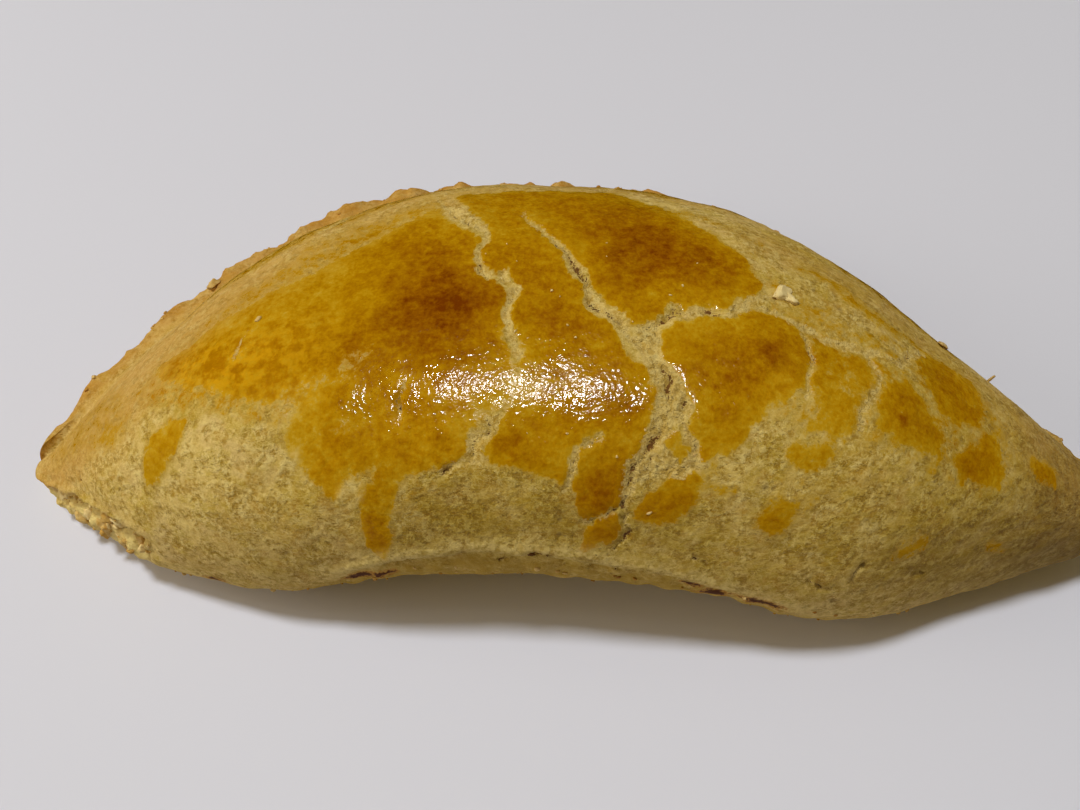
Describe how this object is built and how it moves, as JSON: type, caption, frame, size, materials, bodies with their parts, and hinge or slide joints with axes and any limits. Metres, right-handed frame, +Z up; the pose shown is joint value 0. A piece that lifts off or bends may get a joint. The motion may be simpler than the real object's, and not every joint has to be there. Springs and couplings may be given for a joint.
{
  "type": "meat pie",
  "caption": "Uncut half-moon meat pie of egg-washed shortcrust, folded along the front, crimped and sealed along the curved back, lying on its flat underside.",
  "frame": {"origin": "middle of the pie's box, on the surface it lies on", "axes": "+X along the pie from its left tip to its right, -Y the rounded folded side, +Y the crimped seal, +Z up"},
  "size_m": [0.13, 0.0658, 0.032],
  "materials": {
    "crust": "egg-washed shortcrust baked golden, glossy where the wash lies and matte pale dough along the fold"
  },
  "bodies": {
    "root": {"meat_pie": "crust"}
  },
  "joints": []
}
